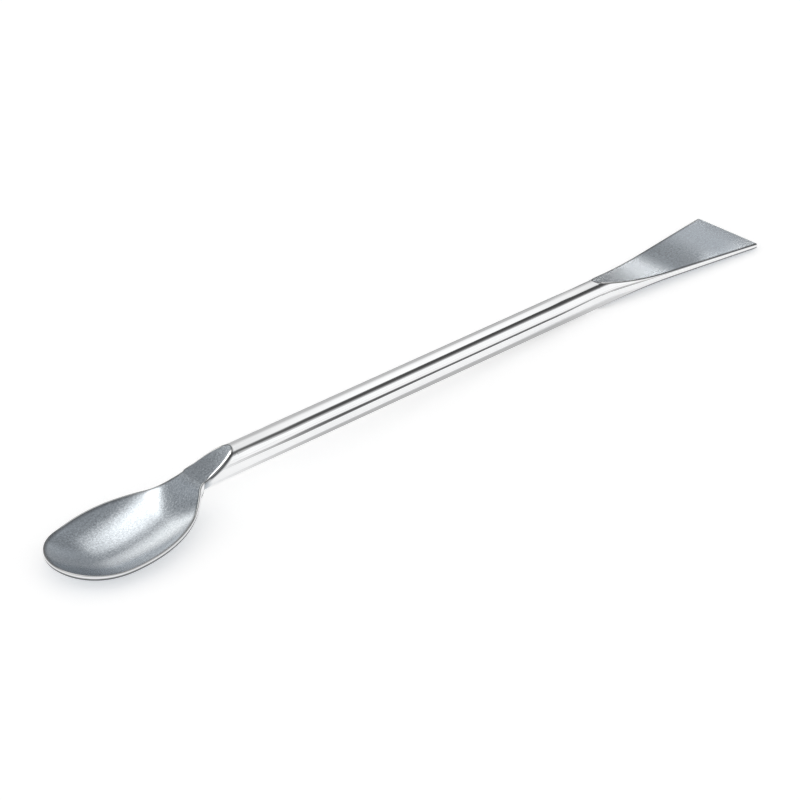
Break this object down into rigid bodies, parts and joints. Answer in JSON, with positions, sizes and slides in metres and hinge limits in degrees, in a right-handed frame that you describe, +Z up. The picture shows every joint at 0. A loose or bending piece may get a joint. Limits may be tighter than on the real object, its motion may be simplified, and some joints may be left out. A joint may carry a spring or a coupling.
{
  "type": "laboratory spatula",
  "caption": "Combination laboratory spatula: round polished steel rod with a forged oval spoon at one end and a flared flat blade at the other.",
  "frame": {"origin": "centre of the bounding box's bottom, on the floor that the spatula rests on, with its bowl open upwards", "axes": "+X along the spatula towards the blade, +Y across it, +Z up out of the bowl"},
  "size_m": [0.175, 0.0202, 0.0104],
  "materials": {
    "steel": "stainless steel: rod polished bright, pressed faces of the bowl, neck and blade finely grained"
  },
  "bodies": {
    "root": {"spatula": "steel"}
  },
  "joints": []
}
